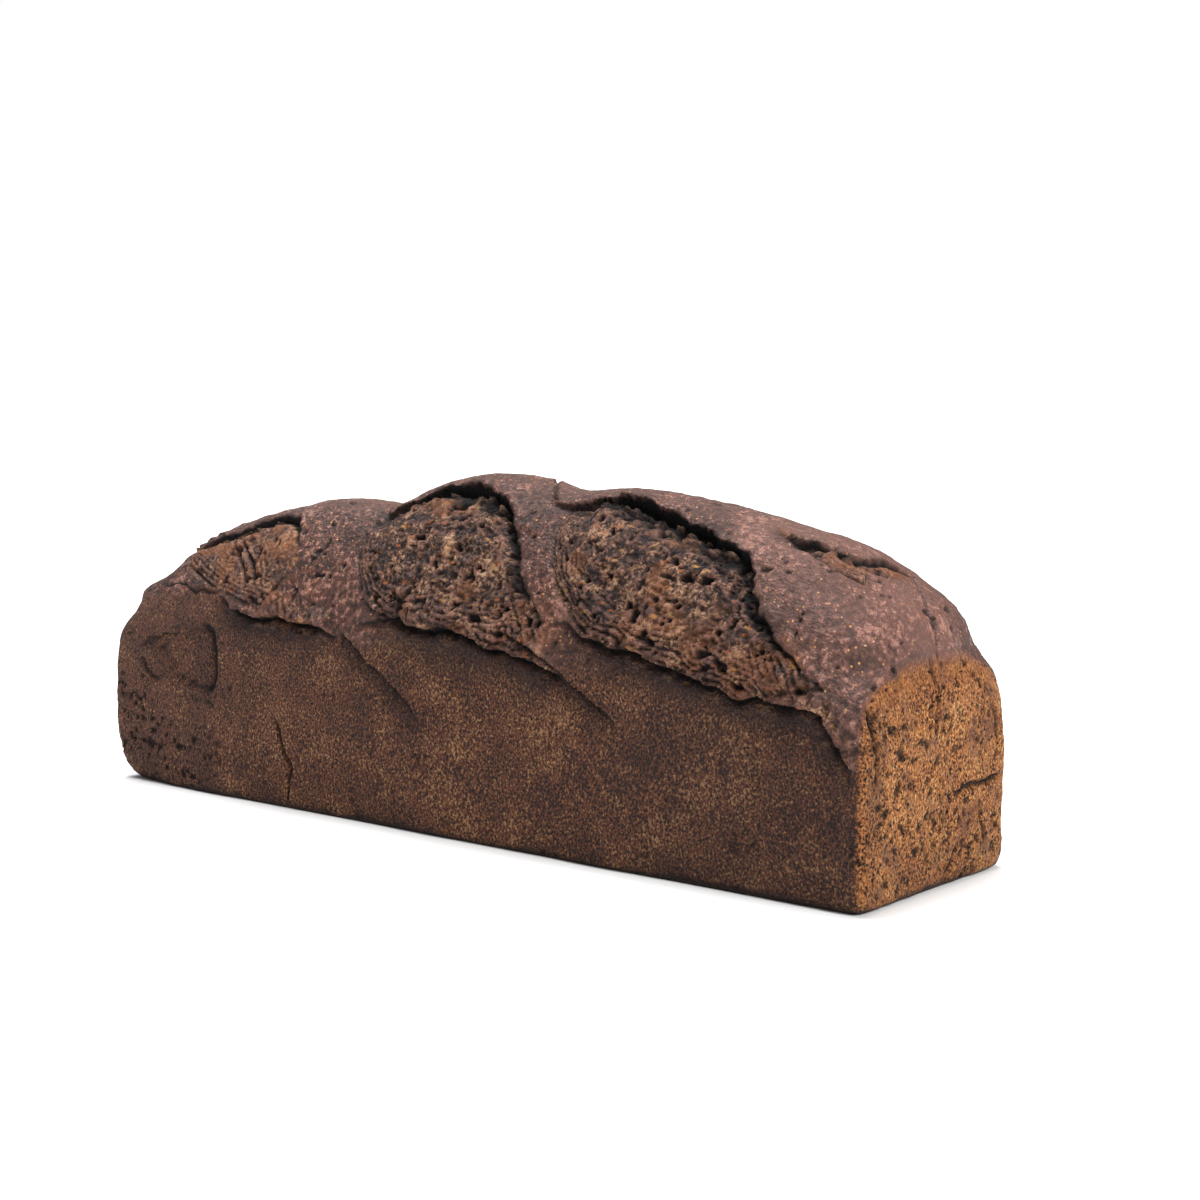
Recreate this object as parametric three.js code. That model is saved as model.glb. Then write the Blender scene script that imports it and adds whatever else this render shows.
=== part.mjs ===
// Pumpernickel loaf: one long rye loaf baked in a narrow tin, as a single closed solid.
// Millimetres, +Z up. The origin is at the middle of the flat base. +X runs along the loaf
// towards the end with the square corners, and the four cuts lean towards +X on the -Y side.

import * as THREE from 'three';
import { mergeVertices } from 'three/addons/utils/BufferGeometryUtils.js';

// ---- driving dimensions -------------------------------------------------------------
const LENGTH = 365;          // end wall to end wall
const WIDTH = 91;            // side wall to side wall
const RIM_HEIGHT = 61;       // height of the tin's rim, where the wall ends and the dome starts
const DOME_RISE = 66;        // from the rim up to the crown at mid length
const SOLE_FLAT = 0.6;       // how much of the lowest skin is pressed flat by the tin's floor

const END_ROUNDING = 50;     // length of each end over which the dome falls away
const WALL_SQUARENESS = 30;  // exponent of the wall section, near square
const LEFT_SQUARENESS = 8;   // the same at the -X end, whose lower edge is well rounded
const RIGHT_SQUARENESS = 14; // the same at the +X end
const DOME_SQUARENESS = 4;   // exponent of the dome seen from above
const DOME_ROUNDNESS = 2.08; // exponent of the dome section, near an ellipse
const TURN_START = -0.35;    // height, -1 base to 0 rim, where the corners start to turn round
const TURN_END = 0.45;       // height, 0 rim to 1 crown, where they have the dome's own plan

const CROWN_SLOPE = 2.1;     // crown height gained per 100 mm towards +X
const CROWN_FALL = 9.2;      // crown height lost per (100 mm) squared from mid length

const CUT_DEPTH = 3.2;       // how far the torn crumb lies under the crust
const CUT_REACH = 30;        // width of the torn crumb, from the raised edge towards -X
const EAR_HEIGHT = 1.6;      // how far the crust stands up along a cut
const EAR_SET_BACK = 4;      // from the cut to the highest line of that raised crust
const EAR_WIDTH = 7;         // how far that raised crust spreads on either side
const CUT_WALL = 8;          // width of the slope from the crust down to the crumb
const CREASE_STEP = 1.1;     // how far the dome stands out over the wall at the rim
const CREASE_WIDTH = 8;      // height over which that step dies away, up and down
const CREASE_SOFTNESS = 4;   // height over which the step turns from in to out
const TAPER_SHARE = 0.2;     // share of a cut or crease over which each end of it fades
const STEPS_PER_CORNER = 8;  // points worked out along a line for each corner given

// ---- lattice ------------------------------------------------------------------------
const CELLS_LONG = 60;
const CELLS_ACROSS = 14;
const CELLS_WALL = 7;
const CELLS_DOME_SIDE = 11;

const HALF_LENGTH = LENGTH / 2;
const HALF_WIDTH = WIDTH / 2;

// Rises and hollows of the crown: the dough sank between the lobes and swelled inside them.
const CROWN_WAVES = [
  { x: -60, rise: -4.2, spread: 20 },
  { x: -2, rise: 1.6, spread: 26 },
  { x: 37, rise: -2.6, spread: 14 },
  { x: 78, rise: 1.2, spread: 24 },
];

// Raised edge of each cut, as [along the loaf, around the loaf]. The second number is the
// distance around from the crown in mm, negative on the -Y side.
const CUTS = [
  { edge: [[-152, -26], [-126, -28], [-108, -25], [-88, -33], [-64, -62], [-57, -79]], depth: 0.8 },
  { edge: [[-62, 12], [-42, -14], [-15, -23], [15, -27], [36, -47], [55, -71]], depth: 1 },
  { edge: [[8, 18], [28, -8], [50, -19], [88, -21], [122, -32], [149, -63], [165, -78]], depth: 1.2 },
  { edge: [[112, 14], [128, -12], [146, -8], [156, 8], [164, 20]], depth: 0.4 },
];

// Creases where the dome hangs over the wall, in the same two numbers.
const CREASES = [
  [[-154, -58], [-127, -63], [-96, -77], [-42, -80], [0, -110]],
  [[-42, -80], [-22, -75], [17, -79], [54, -86], [92, -104]],
  [[53, -72], [80, -76], [121, -84], [156, -88], [174, -102]],
  [[-160, 84], [-90, 76], [-20, 86], [40, 96]],
  [[-10, 80], [60, 76], [120, 84], [170, 92]],
];

// ---- form ---------------------------------------------------------------------------
function superLength(a, b, power) {
  return (Math.abs(a) ** power + Math.abs(b) ** power) ** (1 / power);
}

function smooth(t) {
  const s = Math.min(1, Math.max(0, t));
  return s * s * (3 - 2 * s);
}

function crownHeight(x) {
  const long = x / 100;
  let height = DOME_RISE + CROWN_SLOPE * long - CROWN_FALL * long * long;
  for (const wave of CROWN_WAVES) {
    height += wave.rise * Math.exp(-(((x - wave.x) / wave.spread) ** 2));
  }
  return height;
}

// Lifts a point of a box onto the loaf. x is in mm; across and up run from -1 to 1, and up
// is 0 at the rim. The result holds the place and the distance around from the crown.
function loafPoint(x, across, up) {
  const straight = HALF_LENGTH - END_ROUNDING;
  const toEnd = Math.max(0, Math.abs(x) - straight) / END_ROUNDING;
  const endSquareness = x < 0 ? LEFT_SQUARENESS : RIGHT_SQUARENESS;
  const lowPower = WALL_SQUARENESS + (endSquareness - WALL_SQUARENESS) * toEnd;
  const turn = smooth((up - TURN_START) / (TURN_END - TURN_START));
  const planPower = WALL_SQUARENESS * (DOME_SQUARENESS / WALL_SQUARENESS) ** turn;
  const reach = superLength(toEnd, across, planPower);
  const scale = superLength(reach, up, up > 0 ? DOME_ROUNDNESS : lowPower);
  const [endward, sideward, upward] = [toEnd / scale, across / scale, up / scale];
  const px = toEnd > 0 ? Math.sign(x) * (straight + END_ROUNDING * endward) : x;
  const rise = upward > 0 ? crownHeight(px) : RIM_HEIGHT;
  const pz = Math.max(0, RIM_HEIGHT + rise * upward - SOLE_FLAT);
  const dome = THREE.MathUtils.radToDeg(Math.atan2(sideward, upward));
  const around = upward > 0 ? dome : Math.sign(sideward) * (90 - RIM_HEIGHT * upward);
  return { place: new THREE.Vector3(px, HALF_WIDTH * sideward, pz), around };
}

// ---- cuts and creases ---------------------------------------------------------------
function linePoints(corners) {
  const curve = new THREE.SplineCurve(corners.map(([x, y]) => new THREE.Vector2(x, y)));
  return curve.getPoints(corners.length * STEPS_PER_CORNER);
}

// Nearest point of a line: distance, side (positive towards +X) and share of the length.
function nearest(line, x, around) {
  let best = { distance: Infinity, side: 1, share: 0 };
  for (let i = 1; i < line.length; i += 1) {
    const [from, to] = [line[i - 1], line[i]];
    const [dx, dy] = [to.x - from.x, to.y - from.y];
    const raw = ((x - from.x) * dx + (around - from.y) * dy) / (dx * dx + dy * dy);
    const t = Math.min(1, Math.max(0, raw));
    const distance = Math.hypot(x - from.x - dx * t, around - from.y - dy * t);
    if (distance < best.distance) {
      const side = dx * (around - from.y) - dy * (x - from.x) > 0 ? 1 : -1;
      best = { distance, side, share: (i - 1 + t) / (line.length - 1) };
    }
  }
  return best;
}

// Lets a line's relief die away over the first and last share of its length.
function taper(share) {
  return smooth(share / TAPER_SHARE) * smooth((1 - share) / TAPER_SHARE);
}

// Raised crust on the +X side of a cut and a shallow bed of crumb on the other.
function cutRelief(cut, x, around) {
  const { distance, side, share } = nearest(cut.line, x, around);
  const offset = side * distance;
  const ear = EAR_HEIGHT * Math.exp(-(((offset - EAR_SET_BACK) / EAR_WIDTH) ** 2));
  const farSlope = smooth((CUT_REACH + offset) / (CUT_REACH - CUT_WALL));
  const bed = smooth(-offset / CUT_WALL) * farSlope;
  return taper(share) * (ear - CUT_DEPTH * cut.depth * bed);
}

// The dome stands out just above a crease and the wall is drawn in just below it.
function creaseRelief(line, x, around) {
  const { distance, share } = nearest(line, x, around);
  const lineAround = line[Math.round(share * (line.length - 1))].y;
  const above = Math.abs(lineAround) - Math.abs(around);
  const step = CREASE_STEP * Math.tanh(above / CREASE_SOFTNESS);
  return step * taper(share) * Math.exp(-((distance / CREASE_WIDTH) ** 2));
}

// ---- the solid ----------------------------------------------------------------------
function boxLattice() {
  const rows = CELLS_WALL + CELLS_DOME_SIDE;
  const box = new THREE.BoxGeometry(2, 2, 2, CELLS_LONG, CELLS_ACROSS, rows);
  box.deleteAttribute('normal');
  box.deleteAttribute('uv');
  return mergeVertices(box);
}

// Height of lattice row on the -1 to 1 scale of the form, closer together near the base.
function rowHeight(z) {
  const row = Math.round(((z + 1) / 2) * (CELLS_WALL + CELLS_DOME_SIDE));
  if (row <= CELLS_WALL) {
    return -Math.cos((row / CELLS_WALL) * (Math.PI / 2));
  }
  return (row - CELLS_WALL) / CELLS_DOME_SIDE;
}

function loafGeometry() {
  const geometry = boxLattice();
  const position = geometry.attributes.position;
  const around = [];
  for (let i = 0; i < position.count; i += 1) {
    const up = rowHeight(position.getZ(i));
    const point = loafPoint(position.getX(i) * HALF_LENGTH, position.getY(i), up);
    position.setXYZ(i, point.place.x, point.place.y, point.place.z);
    around.push(point.around);
  }
  addRelief(geometry, around);
  return geometry;
}

// Moves the skin along its own normal; the flat base stays flat.
function addRelief(geometry, around) {
  geometry.computeVertexNormals();
  const cuts = CUTS.map((cut) => ({ ...cut, line: linePoints(cut.edge) }));
  const creases = CREASES.map(linePoints);
  const position = geometry.attributes.position;
  const normal = geometry.attributes.normal;
  for (let i = 0; i < position.count; i += 1) {
    const x = position.getX(i);
    let relief = 0;
    for (const cut of cuts) relief += cutRelief(cut, x, around[i]);
    for (const line of creases) relief += creaseRelief(line, x, around[i]);
    if (position.getZ(i) > 0) {
      position.setX(i, x + relief * normal.getX(i));
      position.setY(i, position.getY(i) + relief * normal.getY(i));
      position.setZ(i, position.getZ(i) + relief * normal.getZ(i));
    }
  }
}

// Shifts the solid so that the middle of its own box stands over the origin.
function centreOnBase(geometry) {
  geometry.computeBoundingBox();
  const centre = geometry.boundingBox.getCenter(new THREE.Vector3());
  geometry.translate(-centre.x, -centre.y, -geometry.boundingBox.min.z);
  return geometry;
}

// Dark, nearly matt rye crust.
function crustMaterial() {
  return new THREE.MeshStandardMaterial({ color: 0x4a2f22, roughness: 0.7, metalness: 0 });
}

function makeLoaf() {
  const loaf = new THREE.Mesh(centreOnBase(loafGeometry()), crustMaterial());
  loaf.name = 'loaf';
  return loaf;
}

const model = new THREE.Group();
model.add(makeLoaf());
export default model;
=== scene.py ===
"""Pumpernickel loaf: a long rye loaf baked in a narrow tin, with four diagonal cuts.

The loaf is one piece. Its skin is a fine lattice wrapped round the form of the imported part,
with the cuts, creases, torn crumb and cracks raised or sunk in it, and one baked material
that is mixed from the crust, the tin wall and the torn crumb.
"""

import math

import bpy
import numpy as np
from bpy.props import FloatProperty, FloatVectorProperty, PointerProperty
from bpy.types import Operator, Panel, PropertyGroup
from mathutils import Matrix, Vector


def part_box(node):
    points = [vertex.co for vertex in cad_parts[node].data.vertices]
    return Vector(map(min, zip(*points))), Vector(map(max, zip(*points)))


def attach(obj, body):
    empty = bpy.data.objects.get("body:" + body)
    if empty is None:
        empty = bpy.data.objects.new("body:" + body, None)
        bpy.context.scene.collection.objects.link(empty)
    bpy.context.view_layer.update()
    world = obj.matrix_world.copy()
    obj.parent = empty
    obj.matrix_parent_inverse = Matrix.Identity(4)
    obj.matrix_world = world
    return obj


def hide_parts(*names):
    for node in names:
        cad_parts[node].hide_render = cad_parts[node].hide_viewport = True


bl_info = {
    "name": "Pumpernickel loaf",
    "version": (1, 0, 0),
    "blender": (4, 5, 0),
    "location": "View3D > Sidebar > Loaf",
    "description": "Builds a dark rye tin loaf with a torn, cut crust and a plain stage",
    "category": "Object",
}

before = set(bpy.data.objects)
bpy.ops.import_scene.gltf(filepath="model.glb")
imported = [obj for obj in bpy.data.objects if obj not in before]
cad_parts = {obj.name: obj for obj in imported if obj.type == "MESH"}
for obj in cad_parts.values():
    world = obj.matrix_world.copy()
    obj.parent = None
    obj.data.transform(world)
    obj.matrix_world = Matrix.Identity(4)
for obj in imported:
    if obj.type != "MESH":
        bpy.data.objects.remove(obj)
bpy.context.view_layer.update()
LOAF_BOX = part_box("loaf")

MM = 0.001


def linear(code):
    """Linear red, green, blue and full cover of an sRGB hex colour."""
    parts = [int(code[i:i + 2], 16) / 255 for i in (1, 3, 5)]
    lit = [c / 12.92 if c <= 0.04045 else ((c + 0.055) / 1.055) ** 2.4 for c in parts]
    return (*lit, 1.0)


# ---- the form, in millimetres ----
# Places on the skin are given as (x, around). On the dome, around is the angle from the
# crown in degrees, 90 at the rim of the tin, and on the walls it goes on by the millimetres
# below the rim. It is negative on the -Y side.

# The walls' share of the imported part's width, the rim's share of its height, and the room
# left over the dome for its relief. The base stays flat, and relief fades in above it.
WIDTH_SHARE = 0.99
RIM_SHARE = 0.473
RELIEF_ROOM = 1.2
HALF_LENGTH = (LOAF_BOX[1].x - LOAF_BOX[0].x) / 2 / MM
HALF_WIDTH = WIDTH_SHARE * LOAF_BOX[1].y / MM
CROWN = LOAF_BOX[1].z / MM
RIM = RIM_SHARE * CROWN
DOME_RISE = CROWN - RIM - RELIEF_ROOM
SOLE_FLAT = 0.6
SOLE_FADE = 1.5

# A higher squareness gives a sharper corner: of the walls, of the base at each end, of the
# far corner at +X and of the dome. The plan turns from wall to dome about the rim, between
# two shares of the height, -1 at the base and 1 at the crown.
END_ROUNDING = 50.0
WALL_SQUARENESS = 30.0
LEFT_SQUARENESS = 8.0
RIGHT_SQUARENESS = 24.0
FAR_CORNER_SQUARENESS = 18.0
DOME_SQUARENESS = 4.0
DOME_ROUNDNESS = 2.08
TURN_START, TURN_END = -0.35, 0.45
RIM_AROUND = 90.0

# The skin's lattice: cells of about 0.75 mm.
CELLS_LONG = 500
CELLS_ACROSS = 112
CELLS_WALL = 64
CELLS_DOME = 92

# The crown line: its climb towards +X and its fall towards both ends, each over 100 mm,
# and its rises and hollows as x, rise, spread.
CROWN_CLIMB = 2.1
CROWN_FALL = 9.2
CROWN_WAVES = ((-52, -7.2, 22), (-2, 2.4, 24), (34, -3.3, 16), (76, 0.8, 18), (98, -0.6, 18))

# Each cut: its raised edge, the other side of the torn crumb, and how far it opened.
CUTS = (
    {"edge": ((-158, -20), (-150, -33), (-126, -31), (-108, -25), (-91, -30), (-82, -41),
              (-76, -54)),
     "far": ((-150, -34), (-146, -46), (-128, -60), (-111, -68), (-90, -74)), "open": 0.36},
    {"edge": ((-60, 10), (-50, -16), (-38, -27), (-22, -21), (2, -20), (15, -25), (25, -31),
              (36, -47), (45, -61), (55, -72)),
     "far": ((-38, -31), (-45, -42), (-43, -50), (-38, -62), (-26, -73), (-5, -78), (18, -80),
             (44, -82)), "open": 1.0},
    {"edge": ((30, -12), (38, -20), (53, -22), (66, -17), (88, -21), (114, -29),
              (130, -38), (137, -50), (149, -64), (167, -81)),
     "far": ((47, -24), (48, -40), (54, -55), (64, -68), (82, -75), (109, -80), (140, -87)),
     "open": 1.0},
    {"edge": ((124, -10), (130, -16), (138, -18), (144, -14), (150, -10), (153, -3), (155, 5),
              (158, 15), (163, 22)),
     "far": ((141, -19), (148, -25), (157, -26), (163, -18), (158, -6)), "open": 0.35},
)

# Creases under the overhanging dome, from the fold's start to where it fades in the wall.
CREASES = (
    ((-118, -68), (-110, -71), (-97, -77), (-87, -77), (-72, -78), (-42, -80)),
    ((-42, -80), (-22, -75), (-4, -77), (17, -79), (36, -81), (54, -86), (68, -90)),
    ((53, -72), (64, -72), (80, -76), (101, -79), (121, -84), (137, -87), (156, -88),
     (168, -91), (174, -101), (180, -110)),
    ((-165, 86), (-120, 78), (-80, 76), (-30, 84), (20, 95)),
    ((-20, 80), (30, 76), (80, 78), (130, 86), (172, 98)),
)

# Tongues where one stretch of wall skin laps over the next, its sunk, painted shadow on the -X
# side.
TONGUES = (
    ((-42, -80), (-28, -90), (-11, -101), (0, -113)),
    ((45, -78), (56, -82), (68, -89), (81, -96), (92, -104)),
    ((20, 95), (34, 104), (42, 118)),
)

# Fine cracks in the skin.
CRACKS = (
    ((174, 14), (176, 10), (178, 5), (181, 3)),
    ((-82, -114), (-79, -120), (-76, -128), (-73, -134), (-74, -140), (-77, -152)),
    ((60, 30), (84, 44), (96, 60)),
    ((-120, 118), (-112, 130), (-114, 142)),
    ((8, 26), (14, 14), (24, -2), (31, -13), (40, -21)),
    ((-126, -34), (-116, -46), (-105, -58), (-99, -68)),
    ((-121, -34), (-111, -45), (-100, -57), (-94, -67)),
    ((124, -10), (130, -16), (138, -18), (144, -14), (152, -4), (156, 10), (162, 22), (166, 20),
     (171, 13), (175, 11), (178, 7)),
)

# Wider, shallow wrinkles of the skin.
WRINKLES = (
    ((-163, -94), (-156, -91), (-147, -86), (-139, -85)),
    ((-163, -97), (-158, -103), (-151, -110)),
    ((-158, -58), (-142, -62), (-128, -66), (-114, -68)),
    ((172, -97), (177, -101), (180, -97)),
    ((112, -36), (128, -50), (140, -66)),
)

# How a crack, a wrinkle and a crack in the end wall are made: depth, half width, and
# darkness of the painted shade in its groove.
# TORN tells how ragged its line is, and CRACK_REACH how far it is felt beside the line.
CRACK_SHAPE, CRACK_TORN = (1.8, 0.65, 0.9), 0.9
WRINKLE_SHAPE, WRINKLE_TORN = (0.9, 1.2, 0.3), 2.4
END_CRACK_SHAPE = (1.8, 0.8, 0.9)
CRACK_REACH = 10

# Cracks in the end wall at +X, as (y, height), and the share of the way round the rounded
# corner, 0 to 1, at which the end wall starts.
END_WALL_FROM = 0.93
END_CRACKS = (
    ((7, 29), (18, 32), (30, 31), (42, 33)),
    ((24, 27), (26, 18), (29, 9)),
    ((-4, 76), (-3, 62), (-4, 48)),
    ((-41, 64), (-40, 50), (-37, 38)),
    ((34, 56), (36, 44), (35, 36)),
)

# The dent pressed in the wall near the left end, and the x from which its edge is sharp.
DENT = ((-157, -93), (-141, -84), (-122, -83), (-118, -90), (-119, -106), (-128, -110),
        (-146, -108))
DENT_SHARP_FROM = -126

# Blisters where the first cut meets the crown: place, and half widths both ways.
BLISTERS = (-141, -30)
BLISTERS_LONG, BLISTERS_AROUND = 11, 4.5

# Stretched dough between the lobes: place, and how far it reaches along the loaf.
STRETCHED = ((-76, -72, 13), (44, -76, 13), (150, -76, 14), (-100, -58, 10))
STRETCHED_AROUND = 9

# The offset given to places well out of a line's reach.
FAR_OFF = 1000.0


def smooth(t):
    """Eases from 0 to 1 as t goes from 0 to 1."""
    t = np.clip(t, 0.0, 1.0)
    return t * t * (3 - 2 * t)


def bell(t):
    """1 at 0, fading to nearly nothing by 2 either side."""
    return np.exp(-t * t)


# ---- noise, repeatable ----
# The last number of each call of the noise is its seed, which picks one fixed pattern.

def scatter(ix, iy, iz, seed):
    """A number from 0 to 1 for each cell of a grid, always the same for the same seed."""
    h = ix * 374761393 + iy * 668265263 + iz * 2147483629 + seed * 974634777
    h = (h ^ (h >> 13)) & 0xFFFFFFFF
    h = (h * 1274126177) & 0xFFFFFFFF
    return ((h ^ (h >> 16)) & 0xFFFFFF) / 0xFFFFFF


def waves(place, size, seed):
    """Soft noise from -1 to 1 whose lumps are about size mm wide."""
    p = place / size
    cell = np.floor(p).astype(np.int64)
    t = p - cell
    t = t * t * (3 - 2 * t)
    total = np.zeros(len(p))
    for dx in (0, 1):
        for dy in (0, 1):
            for dz in (0, 1):
                weight = (np.abs(1 - dx - t[:, 0]) * np.abs(1 - dy - t[:, 1])
                          * np.abs(1 - dz - t[:, 2]))
                total += weight * scatter(cell[:, 0] + dx, cell[:, 1] + dy, cell[:, 2] + dz, seed)
    return total * 2 - 1


def rough(place, size, octaves, seed):
    """Noise of several sizes, each half as large and half as strong as the one before."""
    total = np.zeros(len(place))
    for octave in range(octaves):
        total += waves(place, size / 2 ** octave, seed + octave) / 2 ** octave
    return total


# ---- lines on the skin ----
def curve_through(corners, steps=6):
    """Points of a smooth curve through the corners."""
    p = np.array(corners, dtype=float)
    p = np.vstack([2 * p[0] - p[1], p, 2 * p[-1] - p[-2]])
    t = np.linspace(0, 1, steps, endpoint=False)[:, None]
    out = []
    for a, b, c, d in zip(p, p[1:], p[2:], p[3:]):
        out.append(b + 0.5 * t * (c - a + t * (2 * a - 5 * b + 4 * c - d
                                               + t * (3 * (b - c) + d - a))))
    return np.vstack(out + [p[-2:-1]])


def beside(line, u, v, reach=30.0):
    """Offset of each place (u, v) from a line, its share along it and the way from it.

    The offset is positive on the left of the line's direction, and the way is the unit
    step (du, dv) from the line to the place. Places well out of reach are left far off."""
    offset = np.full(len(u), FAR_OFF)
    share = np.zeros(len(u))
    way = np.zeros((len(u), 2))
    low, high = line.min(axis=0) - reach, line.max(axis=0) + reach
    near = np.flatnonzero((u > low[0]) & (u < high[0]) & (v > low[1]) & (v < high[1]))
    nu, nv = u[near], v[near]
    best = np.full(len(near), FAR_OFF)
    count = len(line) - 1
    for i in range(count):
        a, d = line[i], line[i + 1] - line[i]
        t = np.clip(((nu - a[0]) * d[0] + (nv - a[1]) * d[1]) / (d @ d + 1e-9), 0, 1)
        eu, ev = nu - a[0] - t * d[0], nv - a[1] - t * d[1]
        away = np.hypot(eu, ev)
        closer = np.flatnonzero(away < best)
        best[closer] = away[closer]
        there = near[closer]
        left = d[0] * ev[closer] - d[1] * eu[closer] > 0
        offset[there] = np.where(left, 1.0, -1.0) * away[closer]
        share[there] = (i + t[closer]) / count
        way[there, 0] = eu[closer] / (away[closer] + 1e-9)
        way[there, 1] = ev[closer] / (away[closer] + 1e-9)
    return offset, share, way


def within(outline, u, v):
    """Distance inside a closed outline, negative outside it."""
    closed = np.vstack([outline, outline[:1]])
    away = np.abs(beside(closed, u, v)[0])
    inside = np.zeros(len(u), dtype=bool)
    for a, b in zip(closed, closed[1:]):
        spans = (a[1] > v) != (b[1] > v)
        crossing = a[0] + (v - a[1]) * (b[0] - a[0]) / (b[1] - a[1] + 1e-12)
        inside ^= spans & (u < crossing)
    return np.where(inside, away, -away)


def fades(share, start=0.12, end=0.18):
    """Lets a line's relief die away towards its two ends."""
    return smooth(share / start) * smooth((1 - share) / end)


# ---- the lattice ----
def cell_corners(sheet, flip):
    """What a sheet holds at the four corners of each of its cells, in turn round the cell."""
    a, b, c, d = sheet[:-1, :-1], sheet[1:, :-1], sheet[1:, 1:], sheet[:-1, 1:]
    return np.stack((a, d, c, b) if flip else (a, b, c, d), axis=2)


def box_lattice():
    """Corners (i, j, k), quads and their unfolded map for the skin of a box of cells."""
    n = np.array([CELLS_LONG, CELLS_ACROSS, CELLS_WALL + CELLS_DOME])
    on_skin = np.zeros(n + 1, dtype=bool)
    for axis in range(3):
        face = [slice(None)] * 3
        for end in (0, -1):
            face[axis] = end
            on_skin[tuple(face)] = True
    number = np.full(n + 1, -1, dtype=np.int64)
    number[on_skin] = np.arange(on_skin.sum())
    corners = np.argwhere(on_skin)
    quads, maps = [], []
    for axis, end, flip, corner, turn in SKIN_SIDES:
        sheet = number.take(n[axis] * end, axis=axis)
        quads.append(cell_corners(sheet, flip).reshape(-1, 4))
        maps.append(unfold(sheet.shape, flip, corner, turn))
    return corners, np.vstack(quads), np.vstack(maps)


# Sides of the box: axis, which end, turned over, and its rectangle on the unfolded map.
SKIN_SIDES = (
    (2, 1, False, (0.02, 0.36, 0.76, 0.18), False),
    (2, 0, True, (0.02, 0.80, 0.76, 0.18), False),
    (1, 0, False, (0.02, 0.11, 0.76, 0.24), False),
    (1, 1, True, (0.02, 0.55, 0.76, 0.24), True),
    (0, 1, False, (0.79, 0.11, 0.19, 0.24), False),
    (0, 0, True, (0.79, 0.55, 0.19, 0.24), False),
)


def unfold(shape, flip, rectangle, turn):
    """Map places of the four corners of each quad of one side, in its own rectangle."""
    left, low, wide, high = rectangle
    u = left + wide * np.linspace(0, 1, shape[0])
    v = low + high * np.linspace(0, 1, shape[1])
    if turn:
        v = v[::-1]
    grid = np.stack(np.meshgrid(u, v, indexing="ij"), axis=-1)
    return cell_corners(grid, flip).reshape(-1, 4, 2)


def crown_height(x):
    """Height of the crown line over the rim."""
    height = DOME_RISE + CROWN_CLIMB * x / 100 - CROWN_FALL * (x / 100) ** 2
    for middle, rise, spread in CROWN_WAVES:
        height = height + rise * bell((x - middle) / spread)
    return height


def power_length(a, b, power):
    """Length of (a, b) in a rounded square measure: the higher the power, the squarer."""
    return (np.abs(a) ** power + np.abs(b) ** power) ** (1 / power)


def loaf_form(corners):
    """Places on the plain loaf form, how far around each lies from the crown, and its share
    of the way round the end's rounding, negative at -X."""
    x = (corners[:, 0] / CELLS_LONG * 2 - 1) * HALF_LENGTH
    across = corners[:, 1] / CELLS_ACROSS * 2 - 1
    row = corners[:, 2]
    up = np.where(row <= CELLS_WALL, row / CELLS_WALL - 1, (row - CELLS_WALL) / CELLS_DOME)
    straight = HALF_LENGTH - END_ROUNDING
    to_end = np.clip((np.abs(x) - straight) / END_ROUNDING, 0, 1)
    end_square = np.where(x < 0, LEFT_SQUARENESS, RIGHT_SQUARENESS)
    low_power = WALL_SQUARENESS + (end_square - WALL_SQUARENESS) * to_end
    turn = smooth((up - TURN_START) / (TURN_END - TURN_START))
    side_square = np.where((x > 0) & (across > 0), FAR_CORNER_SQUARENESS, WALL_SQUARENESS)
    plan = power_length(to_end, across, side_square * (DOME_SQUARENESS / side_square) ** turn)
    scale = power_length(plan, up, np.where(up > 0, DOME_ROUNDNESS, low_power))
    endward, sideward, upward = to_end / scale, across / scale, up / scale
    px = np.where(to_end > 0, np.sign(x) * (straight + END_ROUNDING * endward), x)
    rise = np.where(upward > 0, crown_height(px), RIM + SOLE_FLAT)
    pz = np.maximum(0, RIM + SOLE_FLAT + rise * upward - SOLE_FLAT)
    dome = np.degrees(np.arctan2(sideward, upward))
    wall = np.sign(sideward) * (RIM_AROUND + RIM - pz)
    around = np.where(upward > 0, dome, wall)
    place = np.stack([px, HALF_WIDTH * sideward, pz], axis=1)
    return place, around, endward * np.sign(x)


def skin_normals(place, quads):
    """Unit outward direction of the skin at each corner."""
    p = place[quads]
    faces = np.cross(p[:, 2] - p[:, 0], p[:, 3] - p[:, 1])
    total = np.zeros_like(place)
    for axis in range(3):
        for corner in range(4):
            total[:, axis] += np.bincount(quads[:, corner], faces[:, axis], len(place))
    return total / (np.linalg.norm(total, axis=1)[:, None] + 1e-12)


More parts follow.
